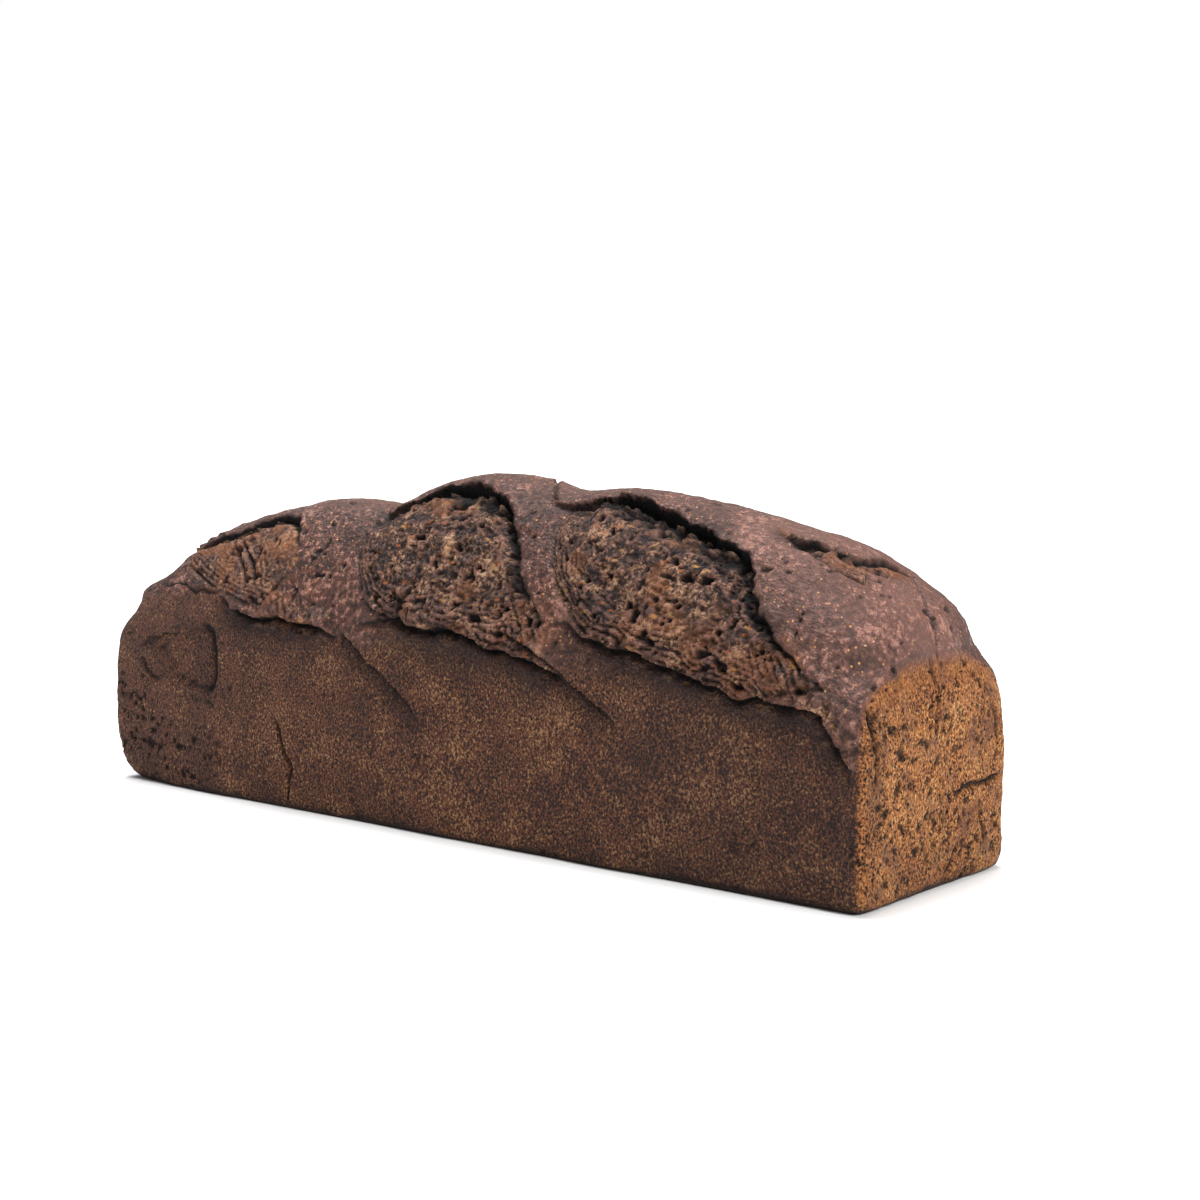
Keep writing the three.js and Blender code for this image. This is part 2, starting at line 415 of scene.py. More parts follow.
# ---- relief ----
class Skin:
    """The loaf's skin while it is shaped: places, directions, movements and finish masks."""

    def __init__(self, corners, quads):
        self.quads = quads
        self.place, self.around, self.endward = loaf_form(corners)
        self.x = self.place[:, 0]
        self.normal = skin_normals(self.place, quads)
        about = np.cross(self.normal, (1.0, 0, 0))
        self.about = about / (np.linalg.norm(about, axis=1)[:, None] + 1e-9)
        self.along = np.cross(self.about, self.normal)
        self.rise = np.zeros(len(corners))
        self.slide = np.zeros((len(corners), 2))
        self.masks = {name: np.zeros(len(corners)) for name in MASKS}
        self.shake = np.stack([rough(self.place, 8.0, 4, 11), rough(self.place, 8.0, 4, 12)],
                              axis=1)

    def near(self, outline, reach):
        """Numbers of the corners within reach of an outline's box on the chart."""
        low, high = outline.min(axis=0) - reach, outline.max(axis=0) + reach
        return np.flatnonzero((self.x > low[0]) & (self.x < high[0])
                              & (self.around > low[1]) & (self.around < high[1]))

    def ragged(self, here, amount):
        """The chart at some corners, shaken so that drawn lines come out torn, not clean."""
        return (self.x[here] + amount * self.shake[here, 0],
                self.around[here] + amount * self.shake[here, 1])

    def beside_line(self, corners, reach, torn):
        """Corners near a line through some points, and how each lies to it, torn a little."""
        line = curve_through(corners)
        here = self.near(line, reach)
        return (here, *beside(line, *self.ragged(here, torn)))

    def finished(self):
        """Places of the skin with every rise and slide carried out; the base stays flat."""
        move = (self.normal * self.rise[:, None] + self.along * self.slide[:, :1]
                + self.about * self.slide[:, 1:])
        place = self.place + move * smooth(self.place[:, 2:] / SOLE_FADE)
        place[:, 2] = np.maximum(place[:, 2], 0)
        return place

    def mark(self, name, amount, here=slice(None)):
        """Raises a finish mask to at least the amount at some corners."""
        layer = self.masks[name]
        layer[here] = np.maximum(layer[here], np.clip(amount, 0, 1))


# Finish masks kept on the mesh: torn crumb, charred gaps with painted shade in them and in
# pits, cracks and folds, tin wall, end wall, golden strands, painted shade under the rim and
# elsewhere, the dull left end, painted shade along the base, painted shade in hollows, and
# painted highlight on the highest lumps, the crown and the right end.
MASKS = ("crumb", "char", "wall", "end_wall", "gold", "rim_shade", "dull", "painted_foot_shade", "painted_hollow_shade",
         "painted_highlight")


# The charred band under a lip, darkened also with painted shade: its width at the ends, and
# what a fully open cut adds.
BAND_NARROW = 1.4
BAND_OPENED = 11


def open_cut(skin, cut, form, seed):
    """One cut: a thin raised lip over a charred gap in painted shade, and torn crumb that domes
    up beyond it.
    """
    edge, far = curve_through(cut["edge"]), curve_through(cut["far"])
    here = skin.near(np.vstack([edge, far]), 16)
    place = skin.place[here]
    opened = cut["open"]
    u, v = skin.ragged(here, 0.2 + 1.3 * opened)
    offset, share, way = beside(edge, u, v)
    life = fades(share, 0.3, 0.16)
    wide = bell((share - 0.42) / 0.3)

    lip = smooth((offset + 0.3) / 0.9)
    torn_edge = 0.3 + 0.8 * waves(place, 6, seed) + 0.4 * waves(place, 2.4, seed + 1)
    ear = torn_edge * bell((offset - 1) / 3) + 0.5 * bell(offset / 12)
    skin.rise[here] += lip * life * ear * opened ** 0.5 * form.ear_height / MM
    hang = form.ear_overhang / MM * opened * life * lip * bell(offset / 2.5)
    skin.slide[here] -= hang[:, None] * way

    below = np.maximum(-offset, 0)
    band = BAND_NARROW + BAND_OPENED * opened * wide * (1 + 0.4 * waves(place, 13, seed + 2))
    gap = smooth(below / 1.3) * (1 - smooth((below - 0.15 * band) / (1.5 * band)))
    depth = form.cut_depth / MM * opened ** 0.5 * life * (0.35 + 0.65 * wide)
    skin.rise[here] -= depth * gap * (0.9 + 0.3 * waves(place, 7, seed + 3))
    # Charred dough and painted shade in the band under the lip, with bits standing out of it.
    frayed = below + (1 + 3.5 * opened) * rough(place, 5, 3, seed + 5) - 0.7 * band
    lit_lip = smooth((1.5 - offset + 0.8 * waves(place, 2, seed + 7)) / 1.2)
    burnt_and_shaded = lit_lip * (1 - smooth(frayed / (0.7 * band))) * life
    bits = smooth((rough(place, 3.4, 3, seed + 9) - 0.1) / 0.6) * smooth((below - 1) / 2)
    skin.rise[here] += burnt_and_shaded * (2.8 * bits - 0.6)
    skin.mark("char", burnt_and_shaded * (1 - 0.3 * bits), here)

    bed = within(np.vstack([edge, far[::-1]]), u, v)
    torn = smooth((bed + 1.0) / 1.6)
    skin.rise[here] += 1.3 * opened * smooth(bed / 9) - 0.8 * bell(bed / 1.2) * (offset < -5)
    skin.mark("crumb", torn * min(1, 0.4 + opened), here)
    browned = smooth(1.7 * waves(place, 9, seed + 8) + 1.3 * (0.75 - opened))
    skin.mark("gold", 0.9 * torn * browned, here)
    from_far = np.minimum(np.abs(beside(far, u, v)[0]), 40.0)
    tear_crumb(skin, here, torn * min(1, 0.35 + 0.8 * opened), 100 * share, from_far, form,
               seed)


# The torn crumb: spacing of its strands, how far they reach from the cut's far edge, and
# the sizes of its lobes, lumps, thin skins and holes.
STRAND_SPACING = 2.1
STRAND_REACH = 9
LOBE, LUMP, FILM, HOLE = 13, 3.2, 3.0, 4.4


def tear_crumb(skin, here, torn, along, from_far, form, seed):
    """Torn crumb: curved strands by the far edge, lumps, thin skins and ragged holes."""
    kept = torn > 0.01
    here, torn, along, from_far = here[kept], torn[kept], along[kept], from_far[kept]
    place = skin.place[here]
    pulled = 0.1 + 0.9 * bell(from_far / STRAND_REACH)
    sway = from_far + 1.3 * waves(place, 9, seed + 11) + 0.3 * waves(place, 2.4, seed + 12)
    strand = np.abs(np.sin(sway * math.pi / STRAND_SPACING)) ** 0.6
    threads = np.stack([from_far, along / 5, place[:, 2] / 5], axis=1)
    thread = (1 - np.abs(waves(threads, 1.6, seed + 15))) ** 3
    lump = 1.1 * rough(place, LOBE, 2, seed + 21) + 0.75 * rough(place, LUMP, 3, seed + 23)
    film = (1 - np.abs(waves(place, FILM, seed + 27))) ** 5
    hole = smooth((rough(place, HOLE, 3, seed + 31) - 0.55) / 0.2)
    rise = ((1 - 0.6 * pulled) * lump + 1.6 * pulled * (strand - 0.65) + 0.4 * thread
            + 0.5 * film - 1.9 * hole - 0.4)
    skin.rise[here] += rise * torn * form.crumb_roughness
    # Painted shade in the holes and between the strands.
    dark = 0.8 * hole + 0.8 * pulled * (1 - strand) ** 1.5
    skin.mark("char", np.minimum(dark, 0.9) * torn, here)


# How far a crease or a lapped tongue is felt beside its line.
FOLD_REACH = 20


def fold_crease(skin, corners, form, seed):
    """The dome bulges over the wall along a crease; the gap under its torn edge and the wall
    below it are darkened with painted shade.
    """
    here, offset, share, way = skin.beside_line(corners, FOLD_REACH, 1.7)
    place = skin.place[here]
    above = offset * (1 if corners[0][1] < 0 else -1)
    life = fades(share, 0.3, 0.14)
    over = smooth((above + 0.4) / 1.0)
    swell = form.crease_step / MM * (0.8 + 0.9 * waves(place, 9, seed))
    skin.rise[here] += life * over * swell * bell(np.maximum(above - 1.2, 0) / 7)
    hang = life * over * (0.7 + 1.0 * waves(place, 4, seed + 1)) * bell(above / 2.2)
    skin.slide[here] -= hang[:, None] * way
    below = np.maximum(-above, 0)
    gap = smooth(below / 0.7) * bell(np.maximum(below - 0.8, 0) / 1.5)
    skin.rise[here] -= life * (2.8 * gap + 1.3 * (1 - over) * bell(below / 9))
    crumbly = bell((above - 2.0) / 4.5) * smooth(0.8 + 1.2 * waves(place, 11, seed + 4))
    skin.rise[here] += 1.2 * life * crumbly * rough(place, 3.2, 3, seed + 5)
    skin.mark("crumb", life * crumbly, here)
    wall, side = skin.masks["wall"], life * (1 - skin.masks["end_wall"][here])
    wall[here] = np.maximum(wall[here], side * (1 - over) * smooth((16 - below) / 5))
    wall[here] *= 1 - side * over * smooth((18 - above) / 6)
    # Painted shade in the gap and on the wall below the crease.
    skin.mark("char", 0.97 * life * gap, here)
    skin.mark("rim_shade", 1.2 * life * (1 - over) * bell(below / 10), here)


def lap_tongue(skin, corners):
    """Wall skin on the +X side laps over its neighbour, with a sunk, painted shadow along the
    lap.
    """
    here, offset, share, way = skin.beside_line(corners, FOLD_REACH, 0.8)
    side = offset * (1 if corners[0][1] < 0 else -1)
    life = smooth((1 - share) / 0.4) * (share > 0)
    over = smooth((side + 0.4) / 0.9)
    skin.rise[here] += life * (1.3 * over * bell(side / 9) - 1.3 * (1 - over) * bell(side / 6))
    skin.slide[here] -= (life * over * 0.7 * bell(side / 2.5))[:, None] * way
    gap = (1 - over) * bell((side + 0.7) / 1.0)
    skin.rise[here] -= life * 1.2 * gap
    # Painted shade in the gap and on the wall beside the lap.
    skin.mark("char", 0.85 * life * gap, here)
    skin.mark("rim_shade", 0.9 * life * (1 - over) * bell(side / 8), here)


def split_crack(skin, here, offset, share, depth, width, dark):
    """A fine crack darkened with painted shade, with a hair of raised skin on both sides."""
    life = fades(share, 0.15, 0.2)
    groove = bell(offset / width) * life
    lips = bell((np.abs(offset) - 2.2 * width) / (1.2 * width)) * life
    skin.rise[here] += 0.25 * lips - depth * groove
    skin.mark("char", dark * groove ** 1.5, here)


# How far over the rim the wall's skin goes on, in degrees, and how much further at -X.
WALL_CLIMB, WALL_CLIMB_LEFT = 10, 18

# Height of the end wall's top at its sides and its rise in the middle, and the height of
# the shoulder at -X.
END_ARCH, END_ARCH_RISE = 72, 4
SHOULDER = 84


def tin_walls(skin):
    """Marks where the dough lay against the tin, and the paler end wall at +X."""
    z = skin.place[:, 2]
    edge = 3.0 * waves(skin.place, 16, 5) + 1.5 * waves(skin.place, 5, 6)
    low = RIM_AROUND - WALL_CLIMB - WALL_CLIMB_LEFT * smooth((-skin.x - 96) / 30)
    skin.mark("wall", smooth((np.abs(skin.around) - low + edge) / 7))
    arch = END_ARCH + END_ARCH_RISE * bell((skin.place[:, 1] - 14) / 26) + 1.3 * edge
    end = smooth((skin.endward - END_WALL_FROM) / 0.05) * smooth((arch - z) / 2)
    skin.mark("end_wall", end)
    skin.mark("gold", 0.8 * end * smooth((z - arch + 13) / 8))
    # Painted shade on the end wall at its corner with the front wall and towards its base.
    corner = bell((skin.place[:, 1] + 39 + edge) / 6) * bell((z - 36) / 24)
    skin.mark("rim_shade", end * np.maximum(0.45 * corner, 0.24 * smooth((34 + edge - z) / 34)))
    skin.mark("wall", end)
    left = smooth((-skin.endward - 0.90) / 0.06) * smooth((SHOULDER + 4 - z) / 6)
    skin.mark("wall", left)
    skin.mark("dull", smooth((-skin.x - 95 + 2 * edge) / 40))
    # Painted shade over the right part of the front wall.
    skin.mark("rim_shade", 0.3 * smooth((skin.x - 40 + 4 * edge) / 90) * (1 - end))
    # Painted shade along the base, where the loaf meets the floor.
    skin.mark("painted_foot_shade", smooth((3.2 + 0.3 * edge - z) / 2.6))


# Sizes of what shapes the open crust: swells, lumps, wrinkles and pits.
SWELL, CRUST_LUMP, WRINKLE, CRUST_PIT = 26, 6, 4.2, 3.6


def crust_skin(skin):
    """Low swells, wrinkles and small pits of the baked crust."""
    here = np.flatnonzero((skin.masks["wall"] < 0.99) & (skin.place[:, 2] > RIM - 10))
    place = skin.place[here]
    dome = 1 - skin.masks["wall"][here]
    skin.rise[here] += dome * (0.8 * rough(place, SWELL, 2, 61)
                               + 0.34 * rough(place, CRUST_LUMP, 4, 63))
    wrinkled = smooth(0.3 + 1.3 * waves(place, 24, 65))
    wrinkle = (1 - np.abs(waves(place * (0.6, 1, 1), WRINKLE, 66))) ** 6
    skin.rise[here] += dome * wrinkled * 0.45 * wrinkle
    pit = smooth((rough(place, CRUST_PIT, 2, 67) - 0.72) / 0.2)
    skin.rise[here] -= dome * 0.9 * pit
    # Painted shade in the pits.
    skin.mark("char", 0.75 * dome * pit, here)


# Sizes of what shapes the walls: long waves, grain, pits and the lumps between them.
WALL_WAVE, WALL_GRAIN, WALL_PIT, WALL_LUMP = 40, 3.4, 1.9, 5


def wall_skin(skin):
    """Slightly uneven walls, with small pits low at the left end and on the right end wall."""
    here = np.flatnonzero(skin.masks["wall"] > 0.01)
    place, wall = skin.place[here], skin.masks["wall"][here]
    end = skin.masks["end_wall"][here]
    skin.rise[here] += wall * (0.7 * rough(place, WALL_WAVE, 2, 71)
                               + 0.2 * rough(place, WALL_GRAIN, 2, 73))
    pit = smooth((rough(place, WALL_PIT, 2, 77) - 0.42) / 0.25)
    low_left = smooth((-place[:, 0] - 95) / 40) * smooth((60 - place[:, 2]) / 30)
    uneven = np.clip(low_left + end, 0, 1)
    patch = uneven * smooth(0.75 + 1.0 * waves(place, 15, 81))
    stray = smooth((waves(place, 9, 83) - 0.5) / 0.3)
    amount = wall * np.clip(patch + 0.5 * stray, 0, 1)
    skin.rise[here] -= 0.9 * pit * amount
    # Painted shade in the pits.
    skin.mark("char", 0.6 * pit * amount, here)
    skin.rise[here] += uneven * 0.4 * rough(place, WALL_LUMP, 3, 85)


def end_shoulders(skin):
    """At the ends the dome stands full over the walls; at -X it starts inside a shoulder."""
    z = skin.place[:, 2]
    end = smooth((skin.endward - 0.3) / 0.3)
    skin.rise += end * 1.75 * bell((z - 85) / 8)
    end = smooth((-skin.endward - 0.35) / 0.35)
    above = z - SHOULDER - 3 * waves(skin.place, 14, 87)
    skin.rise += end * (2.4 * bell((z - 76) / 7) - 2.4 * bell((z - 93) / 9))
    skin.rise -= end * 0.9 * smooth(above / 3) * (1 - smooth((above - 5) / 16))
    # Painted shade along the step where the dome starts inside the shoulder.
    skin.mark("rim_shade", 0.5 * end * bell((above - 3) / 4))


def press_dent(skin):
    """A four-sided dent pressed in the wall near the left end, sharp on its right side."""
    outline = curve_through(DENT, 4)
    here = skin.near(outline, 8)
    u, v = skin.ragged(here, 0.9)
    inside = within(outline, u, v)
    sharp = smooth((u + 140) / 14)
    skin.rise[here] -= 1.8 * smooth(inside / (4.5 - 3.2 * sharp))
    right = smooth((u - DENT_SHARP_FROM) / 5)
    # Painted shadow along the dent's edge, strongest on its sharp right side.
    edge = bell(inside / 1.7) * (0.1 + 0.9 * right) * smooth((v + 111) / 4)
    skin.rise[here] -= 2.0 * edge
    skin.mark("char", 1.3 * edge, here)


def burnt_lumps(skin):
    """Black blistered bits where the first cut meets the crown."""
    spot = bell(np.hypot((skin.x - BLISTERS[0]) / BLISTERS_LONG,
                         (skin.around - BLISTERS[1]) / BLISTERS_AROUND))
    here = np.flatnonzero(spot > 0.01)
    blister = smooth(0.3 + 1.3 * waves(skin.place[here], 2.6, 97))
    skin.rise[here] += 1.5 * spot[here] * blister
    skin.mark("char", spot[here] * blister * 1.2, here)


def golden_strands(skin):
    """Stretched, paler dough between the lobes, under each cut's lower end."""
    for x, around, reach in STRETCHED:
        spot = bell(np.hypot((skin.x - x) / reach, (skin.around - around) / STRETCHED_AROUND))
        here = np.flatnonzero(spot > 0.02)
        spot, place = spot[here], skin.place[here]
        lean = (skin.x[here] - x) * 0.9 + (skin.around[here] - around) * 0.45
        strand = np.abs(np.sin((lean + 1.6 * waves(place, 6, 101)) * math.pi / 2.4)) ** 0.7
        skin.rise[here] += 0.9 * spot * (strand - 0.6)
        skin.mark("gold", spot * smooth(0.5 + waves(place, 4, 103)), here)
        # Painted shade between the strands.
        skin.mark("char", 0.7 * spot * smooth((0.4 - strand) / 0.3), here)


def levelled(values, quads, times):
    """Values on the corners, evened out over their neighbours that many times."""
    count = np.bincount(quads.ravel(), minlength=len(values))
    for _ in range(times):
        middle = np.repeat(values[quads].mean(axis=1), 4)
        values = np.bincount(quads.ravel(), middle, len(values)) / count
    return values


def mark_relief(skin):
    """Marks painted shade in the hollows, and painted highlight on the highest lumps and on the
    crown and right end of the dome.
    """
    proud = skin.rise - levelled(skin.rise, skin.quads, 6)
    skin.mark("painted_hollow_shade", -proud / 0.45)
    lump = smooth(proud / 0.4) * (1 - smooth((proud - 0.7) / 0.4))
    skin.mark("painted_highlight", lump * (0.2 + 0.8 * skin.masks["crumb"]) * (1 - skin.masks["wall"]))
    # Painted sheen: paler crust towards the right end and along the crown, where the light falls.
    pale = np.maximum(smooth((skin.x - 95 + 4 * skin.shake[:, 0]) / 35) * bell(skin.around / 60),
                      0.6 * bell(skin.around / 20))
    skin.mark("painted_highlight", 0.65 * pale * (1 - np.maximum(skin.masks["wall"], skin.masks["crumb"])))


def shape_skin(form):
    """The whole skin with its relief and masks, and its unfolded map."""
    corners, quads, maps = box_lattice()
    skin = Skin(corners, quads)
    tin_walls(skin)
    crust_skin(skin)
    wall_skin(skin)
    end_shoulders(skin)
    for number, cut in enumerate(CUTS):
        open_cut(skin, cut, form, 200 + 50 * number)
    golden_strands(skin)
    burnt_lumps(skin)
    for number, crease in enumerate(CREASES):
        fold_crease(skin, crease, form, 400 + 10 * number)
    for tongue in TONGUES:
        lap_tongue(skin, tongue)
    for lines, shape, torn in ((CRACKS, CRACK_SHAPE, CRACK_TORN),
                               (WRINKLES, WRINKLE_SHAPE, WRINKLE_TORN)):
        for line in lines:
            here, offset, share, _ = skin.beside_line(line, CRACK_REACH, torn)
            split_crack(skin, here, offset, share, *shape)
    here = np.flatnonzero(skin.endward > END_WALL_FROM)
    y, z = skin.place[here, 1] + skin.shake[here, 0], skin.place[here, 2] + skin.shake[here, 1]
    for crack in END_CRACKS:
        offset, share, _ = beside(curve_through(crack), y, z)
        split_crack(skin, here, offset, share, *END_CRACK_SHAPE)
    press_dent(skin)
    mark_relief(skin)
    return skin, maps


# ---- materials ----
# Height of the finest grain, which is in the finish and not in the mesh.
GRAIN_HEIGHT = 3.0 * MM


def add_node(tree, kind, inputs=(), stops=(), **settings):
    """Adds a node with its settings, colour stops and inputs.

    Each input is a socket's name or number with a value, an output, or a node whose first
    output in use is linked."""
    node = tree.nodes.new(kind)
    for name, value in settings.items():
        setattr(node, name, value)
    for number, (share, colour) in enumerate(stops):
        ramp = node.color_ramp.elements
        stop = ramp[number] if number < len(ramp) else ramp.new(share)
        stop.position, stop.color = share, colour
    for socket, value in inputs:
        if isinstance(socket, str):
            socket = next(i for i, s in enumerate(node.inputs) if s.name == socket and s.enabled)
        if isinstance(value, bpy.types.Node):
            value = next(output for output in value.outputs if output.enabled)
        if isinstance(value, bpy.types.NodeSocket):
            tree.links.new(value, node.inputs[socket])
        else:
            node.inputs[socket].default_value = value
    return node


def flecks(tree, where, cell_mm, share, ground, colour):
    """The ground colour with scattered specks in cells of that size, in a share of them."""
    cells = add_node(tree, "ShaderNodeTexVoronoi",
                     (("Vector", where), ("Scale", 1 / (cell_mm * MM))))
    near = add_node(tree, "ShaderNodeMapRange", (("Value", cells.outputs["Distance"]),
                                                 ("From Min", 0.34), ("From Max", 0.18)))
    parts = add_node(tree, "ShaderNodeSeparateColor", (("Color", cells.outputs["Color"]),))
    chosen = add_node(tree, "ShaderNodeMath", ((0, parts), (1, share)), operation="LESS_THAN")
    speck = add_node(tree, "ShaderNodeMath", ((0, near), (1, chosen)), operation="MULTIPLY")
    return add_node(tree, "ShaderNodeMix", (("Factor", speck), ("A", ground), ("B", colour)),
                    data_type="RGBA")


def dome_crust(tree, where, colours):
    """Crust baked in the open: a thin purplish brown skin with a soft sheen.

    Its small lumps catch the light, its pits stay dark, and bran shows as pale specks."""
    broad, fine, grains = (
        add_node(tree, "ShaderNodeTexNoise", (("Vector", where), ("Scale", 1 / (size * MM)),
                                              ("Detail", detail), ("Roughness", roughness)))
        for size, detail, roughness in ((16, 3.0, 0.5), (2.2, 5.0, 0.65), (1.0, 2.0, 0.5)))
    mottle = add_node(tree, "ShaderNodeMix", (("Factor", 0.3), ("A", fine), ("B", broad)))
    ground = add_node(tree, "ShaderNodeValToRGB", (("Fac", mottle),),
                      stops=((0.40, colours.crust_dark), (0.47, colours.crust),
                             (0.54, colours.crust_pale), (0.61, colours.pale_crust_and_highlight)))
    speckled = flecks(tree, where, 1.5, 0.07, ground, colours.bran)
    speckled = flecks(tree, where, 1.3, 0.04, speckled, colours.husk)
    lumps = add_node(tree, "ShaderNodeMix", (("Factor", 0.4), ("A", fine), ("B", grains)))
    height = add_node(tree, "ShaderNodeMapRange", (("Value", lumps), ("To Max", 0.65)))
    gloss = add_node(tree, "ShaderNodeMapRange", (("Value", mottle), ("From Min", 0.42),
                                                  ("From Max", 0.56), ("To Min", 0.7),
                                                  ("To Max", 0.18)))
    return speckled, gloss, height


def pan_crust(tree, where, masks, colours):
    """Crust baked against the tin: matt, with a fine grain, golden bran and dark pits.

    The end wall took less heat and is paler, with stained patches, and the left end is
    duller."""
    upright = add_node(tree, "ShaderNodeMapping", (("Vector", where),
                                                   ("Scale", (1.0, 1.0, 0.8)),
                                                   ("Rotation", (0, math.radians(14), 0))))
    speck, broad, patches = (
        add_node(tree, "ShaderNodeTexNoise", (("Vector", vector), ("Scale", 1 / (size * MM)),
                                              ("Detail", detail), ("Roughness", roughness)))
        for vector, size, detail, roughness in ((upright, 0.75, 2.0, 0.6), (where, 18, 5.0, 0.5),
                                                (where, 9, 4.0, 0.5)))
    tone = add_node(tree, "ShaderNodeMix", (("Factor", 0.25), ("A", speck), ("B", broad)))
    side, dull, end = (
        add_node(tree, "ShaderNodeValToRGB", (("Fac", tone),), stops=stops) for stops in (
            ((0.42, colours.wall_dark), (0.475, colours.wall),
             (0.56, colours.wall_golden), (0.64, colours.wall_bran)),
            ((0.415, colours.wall_dark), (0.475, colours.wall_dull),
             (0.57, colours.wall), (0.65, colours.wall_bran)),
            ((0.385, colours.end_dark), (0.45, colours.end_wall),
             (0.54, colours.end_golden), (0.63, colours.end_bran))))
    patched = add_node(tree, "ShaderNodeMapRange", (("Value", patches), ("From Min", 0.5),
                                                    ("From Max", 0.68), ("To Max", 0.7)))
    end = add_node(tree, "ShaderNodeMix", (("Factor", patched), ("A", end),
                                           ("B", colours.end_purple)), data_type="RGBA")
    walls = side
    for mask, other in (("dull", dull), ("end_wall", end)):
        walls = add_node(tree, "ShaderNodeMix",
                         (("Factor", masks[mask]), ("A", walls), ("B", other)),
                         data_type="RGBA")
    walls = flecks(tree, where, 2.0, 0.6, walls, colours.wall_dark)
    shade = add_node(tree, "ShaderNodeMath", ((0, masks["rim_shade"]), (1, 0.85)),
                     operation="MULTIPLY")
    shaded = add_node(tree, "ShaderNodeMix",
                      (("Factor", shade), ("A", walls), ("B", colours.rim_shade)),
                      data_type="RGBA")
    gloss = add_node(tree, "ShaderNodeMapRange", (("Value", speck), ("To Min", 0.95),
                                                  ("To Max", 0.65)))
    return shaded, gloss, speck


def torn_crumb(tree, where, colours):
    """Torn open crumb: fibrous, dark between its strands, with grain husks showing."""
    fine, broad = (
        add_node(tree, "ShaderNodeTexNoise", (("Vector", where), ("Scale", 1 / (size * MM)),
                                              ("Detail", detail), ("Roughness", roughness),
                                              ("Distortion", swirl)))
        for size, detail, roughness, swirl in ((1.6, 4.0, 0.7, 0.6), (7, 3.0, 0.5, 0.0)))
    tone = add_node(tree, "ShaderNodeMix", (("Factor", 0.4), ("A", fine), ("B", broad)))
    speckled = add_node(tree, "ShaderNodeValToRGB", (("Fac", tone),),
                        stops=((0.455, colours.crumb_dark), (0.49, colours.crumb),
                               (0.54, colours.crumb_warm), (0.59, colours.husk)))
    for turn, cell_mm, share, colour in ((0.6, 2.2, 0.20, colours.bran_burnt),
                                         (-0.7, 2.6, 0.16, colours.bran),
                                         (1.6, 3.0, 0.10, colours.husk)):
        husks = add_node(tree, "ShaderNodeMapping",
                         (("Vector", where), ("Scale", (0.45, 1.0, 1.0)),
                          ("Rotation", (turn, turn, turn))))
        speckled = flecks(tree, husks, cell_mm, share, speckled, colour)
    gloss = add_node(tree, "ShaderNodeMapRange", (("Value", fine), ("From Min", 0.42),
                                                  ("From Max", 0.58), ("To Min", 0.8),
                                                  ("To Max", 0.30)))
    return speckled, gloss, fine


def empty_material(name):
    """A material with nothing in its tree but the place on the piece, which it gives too."""
    material = bpy.data.materials.new(name)
    material.use_nodes = True
    tree = material.node_tree
    tree.nodes.clear()
    return material, tree, add_node(tree, "ShaderNodeTexCoord").outputs["Object"]


def baked_rye_crust(colours):
    """The loaf's finish: crust, tin wall and torn crumb, mixed by the masks on the skin.

    Painted shade darkens the hollows and the base, painted highlight pales the highest lumps
    and the crown, and the gaps are charred black with painted shade in them, which gives the
    dark loaf its deep, crisp relief."""
    material, tree, where = empty_material("rye_crust_baked")
    masks = {name: add_node(tree, "ShaderNodeAttribute", attribute_name=name).outputs["Fac"]
             for name in MASKS}
    crust = dome_crust(tree, where, colours)
    wall = pan_crust(tree, where, masks, colours)
    crumb = torn_crumb(tree, where, colours)
    mixed = []
    for part, kind in enumerate(("RGBA", "FLOAT", "FLOAT")):
        skin = add_node(tree, "ShaderNodeMix", (("Factor", masks["wall"]), ("A", crust[part]),
                                                ("B", wall[part])), data_type=kind)
        mixed.append(add_node(tree, "ShaderNodeMix",
                              (("Factor", masks["crumb"]), ("A", skin), ("B", crumb[part])),
                              data_type=kind))
    colour, gloss, relief = mixed
    # Tints: golden strands, painted shade in the hollows and along the base, painted highlight on
    # the highest lumps, and charred dough with painted shade in the gaps.
    for name, amount, tint in (("gold", 0.5, colours.golden), ("painted_hollow_shade", 0.85, colours.painted_shade),
                               ("painted_highlight", 0.5, colours.pale_crust_and_highlight), ("painted_foot_shade", 0.85, colours.painted_shade),
                               ("char", 1.0, colours.char)):
        weight = add_node(tree, "ShaderNodeMath", ((0, masks[name]), (1, amount)),
                          operation="MULTIPLY")
        colour = add_node(tree, "ShaderNodeMix",
                          (("Factor", weight), ("A", colour), ("B", tint)), data_type="RGBA")
    gloss = add_node(tree, "ShaderNodeMix", (("Factor", masks["char"]), ("A", gloss),
                                             ("B", 0.95)))
    bump = add_node(tree, "ShaderNodeBump",
                    (("Height", relief), ("Strength", 1.0), ("Distance", GRAIN_HEIGHT)))
    shader = add_node(tree, "ShaderNodeBsdfPrincipled",
                      (("Base Color", colour), ("Roughness", gloss), ("Normal", bump),
                       ("IOR", 1.45), ("Specular IOR Level", 0.42)))
    add_node(tree, "ShaderNodeOutputMaterial", (("Surface", shader),))
    return material


def studio_floor_material(colours):
    """Plain painted board: pale, matt and a little uneven."""
    material, tree, where = empty_material("board_painted_matt")
    grain = add_node(tree, "ShaderNodeTexNoise",
                     (("Vector", where), ("Scale", 1 / (60 * MM)), ("Detail", 2.0)))
    gloss = add_node(tree, "ShaderNodeMapRange", (("Value", grain), ("To Min", 0.55),
                                                  ("To Max", 0.7)))
    shader = add_node(tree, "ShaderNodeBsdfPrincipled",
                      (("Base Color", colours.floor), ("Roughness", gloss)))
    add_node(tree, "ShaderNodeOutputMaterial", (("Surface", shader),))
    return material


# ---- settings ----
def length(name, description, default):
    """A length that a user can change, in metres."""
    return FloatProperty(name=name, description=description, default=default, min=0.0,
                         unit="LENGTH", precision=5)


